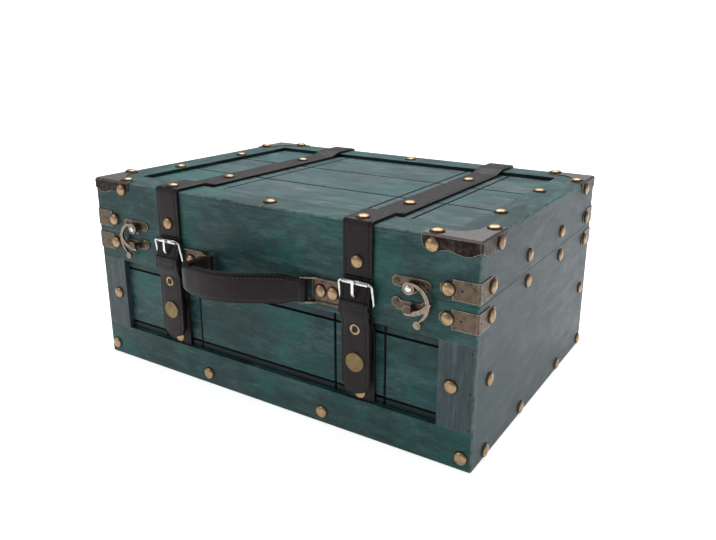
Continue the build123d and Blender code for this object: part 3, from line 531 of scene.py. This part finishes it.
def sweep(bm, path, section, side, closed=False):
    """Carries section(i), points of (side, outward), along path; side is its first direction."""
    rings = []
    count = len(path)
    for i, point in enumerate(path):
        before = path[(i - 1) % count] if closed or i else point
        after = path[(i + 1) % count] if closed or i < count - 1 else point
        outward = (after - before).normalized().cross(side).normalized()
        rings.append([bm.verts.new(point + side * s + outward * o) for s, o in section(i)])
    pairs = list(zip(rings, rings[1:]))
    if closed:
        pairs.append((rings[-1], rings[0]))
    for first, second in pairs:
        width = len(first)
        for j in range(width):
            bm.faces.new((first[j], first[(j + 1) % width], second[(j + 1) % width], second[j]))
    if not closed:
        bm.faces.new(rings[0])
        bm.faces.new(list(reversed(rings[-1])))


# Dome nails, each turned a little differently, with painted shade round the foot of each dome
NAIL_RADIUS = 5.3
NAIL_RIM = [(0, 0), (5.2, 0), (5.5, 0.25), (5.45, 0.55)]
NAIL_DOME = [(NAIL_RADIUS * math.cos(math.radians(angle)), 0.5 + 2.3 * math.sin(math.radians(angle)))
             for angle in (12, 26, 40, 54, 68, 80)]
NAIL_PROFILE = NAIL_RIM + NAIL_DOME + [(0, 2.8)]
NAIL_SHADED_BANDS = 5
NAIL_TILT = 0.035
random.seed(7)
for body in ("base", "lid"):
    node = body + "_dome_nails"
    bm = bmesh.new()
    for point, outward in head_seats(node):
        tilt = Matrix.Rotation(random.uniform(-NAIL_TILT, NAIL_TILT), 4, "X")
        seat = seat_on(point - outward * 0.1 * MM, outward) @ tilt
        revolve(bm, NAIL_PROFILE, seat, 28, second_bands=NAIL_SHADED_BANDS)
    piece = finish_piece(bm, "dressed_" + node, brass, body, second=brass_rim_shade)
    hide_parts(node)

# Small screws
SCREW_PROFILE = [(0, 0), (2.0, 0), (1.9, 0.35), (1.2, 0.75), (0.45, 0.8), (0.4, 0.45), (0, 0.45)]
for body in ("base", "lid"):
    node = body + "_screws"
    bm = bmesh.new()
    for point, outward in head_seats(node):
        revolve(bm, SCREW_PROFILE, seat_on(point, outward), 20)
    piece = finish_piece(bm, "dressed_" + node, bronze, body)
    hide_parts(node)

# The latches' rivets, whose shanks the hooks turn on
RIVET_PROFILE = [(0, -5.6), (1.6, -5.6), (1.6, 0), (2.7, 0), (2.6, 0.4), (2.0, 0.8), (1.0, 0.98), (0, 1.0)]
bm = bmesh.new()
for name, sign in SIDES:
    seat_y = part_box("latch_rivets")[0].y + 1.0 * MM
    revolve(bm, RIVET_PROFILE, seat_on(Vector((sign * LATCH_X, seat_y, LATCH_Z)), FORWARD), 24)
piece = finish_piece(bm, "dressed_latch_rivets", chrome, "lid")
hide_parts("latch_rivets")

# Snap buttons, eyelets and buckles
SNAP_HEIGHT = 1.6
SNAP_PROFILE = [(0, -6.1), (6.1, -6.1), (6.1, -2.5), (3.9, -2.5), (3.9, 0), (8.0, 0), (8.0, 0.5), (7.6, 1.2),
                (7.0, 1.45), (6.4, 1.2), (5.6, 1.3), (3.0, 1.52), (0, SNAP_HEIGHT)]
EYELET_HEIGHT = 0.7
EYELET_PROFILE = [(2.9, -2.4), (2.9, 0), (4.4, 0), (4.35, 0.35), (3.8, EYELET_HEIGHT), (3.0, 0.65),
                  (2.4, 0.2), (2.3, -2.4), (2.9, -2.4)]
ROLLER_PROFILE = [(1.2, 0), (1.75, 0), (1.9, -0.15), (1.9, -22.25), (1.75, -22.4), (1.2, -22.4), (1.2, 0)]


def strap_fitting(kind, node, profile, height, material, steps):
    """A round brass fitting on each strap's tail, set by the front of the CAD node."""
    for name, sign in SIDES:
        low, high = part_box(node + name)
        face = Vector((sign * STRAP_X, low.y + height * MM, (low.z + high.z) / 2))
        bm = bmesh.new()
        revolve(bm, profile, seat_on(face, FORWARD), steps)
        piece = finish_piece(bm, "dressed_" + kind + name, material, "tail_" + name)
        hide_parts(node + name)


strap_fitting("snap_", "snap_cap_", SNAP_PROFILE, SNAP_HEIGHT, dull_brass, 40)
strap_fitting("eyelet_", "strap_eyelet_", EYELET_PROFILE, EYELET_HEIGHT, brass, 32)
for name, sign in SIDES:
    # The buckle's frame is one bent wire
    half = RIGHTWARD * BUCKLE_HALF
    low = BUCKLE_LOW + RIGHTWARD * sign * STRAP_X
    high = BUCKLE_HIGH + RIGHTWARD * sign * STRAP_X
    corners = [low, low + half, high + half, high - half, low - half, low]
    wire = rounded_path(corners, [2.2 * MM] * 4, 0.4 * MM)[:-1]
    flat = (high - low).cross(RIGHTWARD).normalized()
    ring = circle(WIRE_RADIUS, 12)
    bm = bmesh.new()
    sweep(bm, wire, lambda i: ring, flat, closed=True)
    piece = finish_piece(bm, "dressed_buckle_" + name, chrome, "tail_" + name)
    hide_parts("buckle_frame_" + name)

    # Its roller turns on the upper bar
    bm = bmesh.new()
    revolve(bm, ROLLER_PROFILE, seat_on(high + RIGHTWARD * ROLLER_HALF, RIGHTWARD), 32)
    piece = finish_piece(bm, "dressed_roller_" + name, chrome, "roller_" + name)
    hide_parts("buckle_roller_" + name)

# Straps: one length of leather each, with rounded edges. Paths are (y, z) in millimetres.
LID_STRAP_CORNERS = [(-134.25, 131.85), (-134.25, 172.25), (-103, 172.25), (-89.5, 168.75),
                     (89.5, 168.75), (103, 172.25), (134.25, 172.25), (134.25, 127.2)]
LID_STRAP_RADII = [2.25, 8, 8, 8, 8, 2.25]
TAIL_CORNERS = [(-134.25, 130.5), (-134.45, 127.5), (-139.15, 113.5), (-139.15, 101.8), (-137.25, 96.4),
                (-137.25, 39)]
TAIL_RADII = [4, 9, 4, 4]
UNDER_STRAP_CORNERS = [(-134.25, 101.5), (-134.25, 96), (-129.75, 88.5), (-129.75, 30.6)]
UNDER_STRAP_RADII = [3, 3]
TIP_LENGTH = 11 * MM
NARROWEST_TIP = 0.12


def side_path(corners, radii):
    path = rounded_path([Vector((0, y, z)) * MM for y, z in corners], [r * MM for r in radii], 1.0 * MM)
    return cut_short(path, 1.6 * MM)


def strap_section(half, thick):
    """A rounded rectangle with slightly crowned faces."""
    edge = min(0.6 * MM, half / 2)
    crown = thick + 0.08 * MM
    corner = [(half - edge, thick), (half - 0.25 * edge, thick - 0.25 * edge), (half, thick - edge)]
    right = corner + [(s, -o) for s, o in reversed(corner)]
    half_round = right + [(half * 0.5, -crown), (-half * 0.5, -crown)]
    return half_round + [(-s, -o) for s, o in half_round]


def leather_strap(name, body, node, x, path, tip=0):
    """A strap along path at x. A tip of that length is cut to a half circle."""

    def section(i):
        above = path[i].z - path[-1].z
        share = 1.0
        if tip and above < tip:
            share = max(NARROWEST_TIP, math.sqrt(max(0, 1 - (1 - above / tip) ** 2)))
        return strap_section(STRAP_HALF * share, STRAP_THICK / 2)

    bm = bmesh.new()
    sweep(bm, [point + RIGHTWARD * x for point in path], section, RIGHTWARD)
    piece = finish_piece(bm, name, strap_leather, body)
    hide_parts(node)
    crisp_edges(piece)


lid_strap_path = side_path(LID_STRAP_CORNERS, LID_STRAP_RADII)
tail_path = side_path(TAIL_CORNERS, TAIL_RADII)
under_strap_path = side_path(UNDER_STRAP_CORNERS, UNDER_STRAP_RADII)
for name, sign in SIDES:
    x = sign * STRAP_X
    leather_strap("leather_lid_strap_" + name, "lid", "lid_strap_" + name, x, lid_strap_path)
    leather_strap("leather_tail_" + name, "tail_" + name, "strap_tail_" + name, x, tail_path, TIP_LENGTH)
    leather_strap("leather_under_strap_" + name, "base", "under_strap_" + name, x, under_strap_path)

    # Keeper: a narrow loop round the tail, with a flap up its front
    low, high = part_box("strap_keeper_" + name)
    loop_height = 5.8 * MM
    loop_section = strap_section(loop_height / 2, 0.5 * MM)
    flap_section = strap_section(STRAP_HALF, 0.5 * MM)
    front = Vector((x, low.y + KEEPER_THICK / 2, low.z + loop_height / 2))
    back = front - FORWARD * (STRAP_THICK + KEEPER_THICK)
    half = RIGHTWARD * ((high.x - low.x - KEEPER_THICK) / 2)
    corners = [front, front + half, back + half, back - half, front - half, front]
    loop = rounded_path(corners, [0.9 * MM] * 4, 0.3 * MM)[:-1]
    flap_foot = Vector((x, front.y, low.z + loop_height - 1 * MM))
    flap_top = Vector((x, front.y, high.z))
    bm = bmesh.new()
    sweep(bm, loop, lambda i: loop_section, UPWARD, closed=True)
    sweep(bm, [flap_foot.lerp(flap_top, i / 4) for i in range(5)], lambda i: flap_section, RIGHTWARD)
    piece = finish_piece(bm, "leather_keeper_" + name, strap_leather, "tail_" + name)
    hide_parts("strap_keeper_" + name)

# Handle: two layers of leather sewn together, folded round the brackets' bars
HANDLE_CORNERS = [Vector((-HANDLE_BAR.x, HANDLE_BAR.y, HANDLE_Z)),
                  Vector((-54.5 * MM, FRONT - 34.5 * MM, HANDLE_Z)),
                  Vector((-8 * MM, FRONT - 38 * MM, HANDLE_Z)),
                  Vector((HANDLE_BAR.x, HANDLE_BAR.y, HANDLE_Z))]
HANDLE_RADII = [14 * MM, 60 * MM]
HANDLE_HALF = 11.5 * MM
HANDLE_NARROWING = 2.3 * MM
TAPER_START = 34 * MM
TAPER_LENGTH = 10 * MM
EYE_HEIGHT = 9.1 * MM
EYE_PROFILE = [(1.5, 0), (3.9, 0), (4.2, 0.4), (4.2, 17.8), (3.9, 18.2), (1.5, 18.2), (1.5, 0)]
handle_path = cut_short(rounded_path(HANDLE_CORNERS, HANDLE_RADII, 1.2 * MM), 1.5 * MM, int)


def handle_half(point):
    """Half the handle's height: narrow at the brackets, full in the middle."""
    share = max(0.0, min(1.0, (abs(point.x) - TAPER_START) / TAPER_LENGTH))
    ease = share * share * (3 - 2 * share)
    return HANDLE_HALF - HANDLE_NARROWING * ease


def handle_section(i):
    """Two rounded layers, with a seam between them and slightly crowned faces."""
    half = handle_half(handle_path[i])
    thick = HANDLE_THICK / 2
    edge = 0.55 * MM
    seam = 0.35 * MM
    crown = thick + 0.25 * MM
    upper = [(half - edge, thick), (half - 0.15 * MM, thick - 0.2 * MM), (half, thick - edge),
             (half, seam), (half - seam, 0), (half, -seam), (half, edge - thick),
             (half - 0.15 * MM, 0.2 * MM - thick), (half - edge, -thick)]
    half_round = upper + [(half * 0.5, -crown), (-half * 0.5, -crown)]
    return half_round + [(-s, -o) for s, o in half_round]


bm = bmesh.new()
sweep(bm, handle_path, handle_section, UPWARD)
for name, sign in SIDES:
    eye_foot = Vector((sign * HANDLE_BAR.x, HANDLE_BAR.y, HANDLE_Z - EYE_HEIGHT))
    revolve(bm, EYE_PROFILE, Matrix.Translation(eye_foot), 32)
handle = finish_piece(bm, "dressed_handle", handle_leather, "base")
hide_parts("handle_strap")
crisp_edges(handle)

# Stitches along both edges of the handle, on both faces
STITCH_STEP = 3.0 * MM
STITCH_INSET = 2.9 * MM
STITCH_REACH = 46 * MM
STITCH_SIZE = (1.0 * MM, 0.34 * MM, 0.3 * MM, 1)
bm = bmesh.new()
travelled = 0.0
for before, point, after in zip(handle_path, handle_path[1:], handle_path[2:]):
    travelled += (after - point).length
    if travelled < STITCH_STEP or abs(point.x) > STITCH_REACH:
        continue
    travelled = 0.0
    tangent = (after - before).normalized()
    outward = tangent.cross(UPWARD).normalized()
    turn = Matrix((tangent, UPWARD, outward)).transposed().to_4x4()
    for side in (-1, 1):
        for face in (-1, 1):
            spot = point + UPWARD * side * (handle_half(point) - STITCH_INSET)
            spot += outward * face * (HANDLE_THICK / 2 + 0.12 * MM)
            seat = Matrix.Translation(spot) @ turn @ Matrix.Diagonal(STITCH_SIZE)
            bmesh.ops.create_icosphere(bm, subdivisions=2, radius=1, matrix=seat)
finish_piece(bm, "handle_stitches", thread, "base")

# Small dark nail holes in the corner plates, and brad holes along the stiles: flat discs of painted shade
PLATE_HOLE = [(0, -0.02), (0.85, -0.02), (0.8, 0.04), (0, 0.04)]
BRAD_HOLE = [(0, -0.02), (0.7, -0.02), (0.65, 0.04), (0, 0.04)]
FRONT_HOLE_INSET = 13 * MM
END_HOLE_INSET = 4 * MM
BRAD_INSET = 3.2 * MM
BRAD_HEIGHTS = (92 * MM, 62 * MM, 34 * MM)
for body in ("base", "lid"):
    low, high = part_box(body + "_corner_plates")
    height = (low.z + high.z) / 2
    bm = bmesh.new()
    for x_sign in (-1, 1):
        for y_sign in (-1, 1):
            front_spot = Vector((x_sign * (high.x - FRONT_HOLE_INSET), y_sign * high.y, height))
            end_spot = Vector((x_sign * high.x, y_sign * (high.y - END_HOLE_INSET), height))
            revolve(bm, PLATE_HOLE, seat_on(front_spot, Vector((0, y_sign, 0))), 14)
            revolve(bm, PLATE_HOLE, seat_on(end_spot, Vector((x_sign, 0, 0))), 14)
    finish_piece(bm, "plate_holes_" + body, hole_shade, body)
bm = bmesh.new()
for name, sign in SIDES:
    for height in BRAD_HEIGHTS:
        spot = Vector((sign * (END_X - BRAD_INSET), FRONT, height))
        revolve(bm, BRAD_HOLE, seat_on(spot, FORWARD), 12)
finish_piece(bm, "stile_brad_holes", hole_shade, "base")


# Floor and world
def clear_tree(owner):
    owner.use_nodes = True
    owner.node_tree.nodes.clear()
    return owner.node_tree


def seen_rays(tree):
    """1 for the rays that show the floor itself: from the camera, in a reflection or through glass."""
    path = tree.nodes.new("ShaderNodeLightPath")
    seen = path.outputs["Is Camera Ray"]
    for ray in ("Is Glossy Ray", "Is Transmission Ray"):
        either = tree.nodes.new("ShaderNodeMath")
        either.operation = "MAXIMUM"
        tree.links.new(seen, either.inputs[0])
        tree.links.new(path.outputs[ray], either.inputs[1])
        seen = either.outputs[0]
    return seen


# The floor glows for the eye alone, so that it is white and still holds a faint shadow
FLOOR_HALF = 4.0
FLOOR_DROP = 0.3 * MM
FLOOR_GREY = (0.8, 0.8, 0.8, 1)
FLOOR_GLOW = (0.74, 0.74, 0.74, 1)
bm = bmesh.new()
bmesh.ops.create_grid(bm, x_segments=2, y_segments=2, size=FLOOR_HALF)
floor_mesh = bpy.data.meshes.new("floor")
bm.to_mesh(floor_mesh)
bm.free()
floor = bpy.data.objects.new("floor", floor_mesh)
bpy.context.scene.collection.objects.link(floor)
floor.location.z = -FLOOR_DROP
floor_material = bpy.data.materials.new("pale_floor")
tree = clear_tree(floor_material)
diffuse = tree.nodes.new("ShaderNodeBsdfDiffuse")
diffuse.inputs["Color"].default_value = FLOOR_GREY
glow = tree.nodes.new("ShaderNodeEmission")
glow.inputs["Color"].default_value = FLOOR_GLOW
tree.links.new(seen_rays(tree), glow.inputs["Strength"])
total = tree.nodes.new("ShaderNodeAddShader")
tree.links.new(diffuse.outputs[0], total.inputs[0])
tree.links.new(glow.outputs[0], total.inputs[1])
tree.links.new(total.outputs[0], tree.nodes.new("ShaderNodeOutputMaterial").inputs[0])
floor_mesh.materials.append(floor_material)

# The world lights softly and looks white
AMBIENT_COLOUR = (0.93, 0.96, 1.0, 1)
AMBIENT_STRENGTH = 0.38
world = bpy.data.worlds.new("studio")
bpy.context.scene.world = world
tree = clear_tree(world)
ambient = tree.nodes.new("ShaderNodeBackground")
ambient.inputs["Color"].default_value = AMBIENT_COLOUR
ambient.inputs["Strength"].default_value = AMBIENT_STRENGTH
backdrop = tree.nodes.new("ShaderNodeBackground")
backdrop.inputs["Color"].default_value = (1, 1, 1, 1)
backdrop.inputs["Strength"].default_value = 1.0
choose = tree.nodes.new("ShaderNodeMixShader")
path = tree.nodes.new("ShaderNodeLightPath")
tree.links.new(path.outputs["Is Camera Ray"], choose.inputs[0])
tree.links.new(ambient.outputs[0], choose.inputs[1])
tree.links.new(backdrop.outputs[0], choose.inputs[2])
tree.links.new(choose.outputs[0], tree.nodes.new("ShaderNodeOutputWorld").inputs[0])


# Lamps
def softbox(name, place, size, power):
    """A square area lamp that looks at the trunk."""
    data = bpy.data.lights.new(name, "AREA")
    data.shape = "SQUARE"
    data.size = size
    data.energy = power
    lamp = bpy.data.objects.new(name, data)
    bpy.context.scene.collection.objects.link(lamp)
    lamp.location = place
    lamp.rotation_euler = (Vector((0, 0, 0.1)) - Vector(place)).to_track_quat("-Z", "Y").to_euler()


softbox("overhead", (-0.3, 0.7, 1.6), 1.6, 34)
softbox("front_left", (-1.3, -1.6, 1.1), 1.2, 8)
softbox("right", (1.8, -0.2, 0.9), 1.1, 4)

# The camera, solved from the trunk's corners in the photograph
PHOTO_WIDTH = 716
FOCAL_PIXELS = 695.15
CENTRE_RIGHT_PIXELS = 20.2
CENTRE_LOW_PIXELS = 27.0
SENSOR_WIDTH = 36
camera = bpy.data.objects.new("camera", bpy.data.cameras.new("camera"))
bpy.context.scene.collection.objects.link(camera)
camera.location = (0.3539, -0.5308, 0.2966)
camera.rotation_euler = [math.radians(angle) for angle in (73.453, -0.515, 31.464)]
camera.data.sensor_width = SENSOR_WIDTH
camera.data.lens = SENSOR_WIDTH * FOCAL_PIXELS / PHOTO_WIDTH
camera.data.shift_x = -CENTRE_RIGHT_PIXELS / PHOTO_WIDTH
camera.data.shift_y = -CENTRE_LOW_PIXELS / PHOTO_WIDTH
camera.data.clip_start = 0.01
bpy.context.scene.camera = camera
bpy.context.scene.view_settings.view_transform = "Standard"
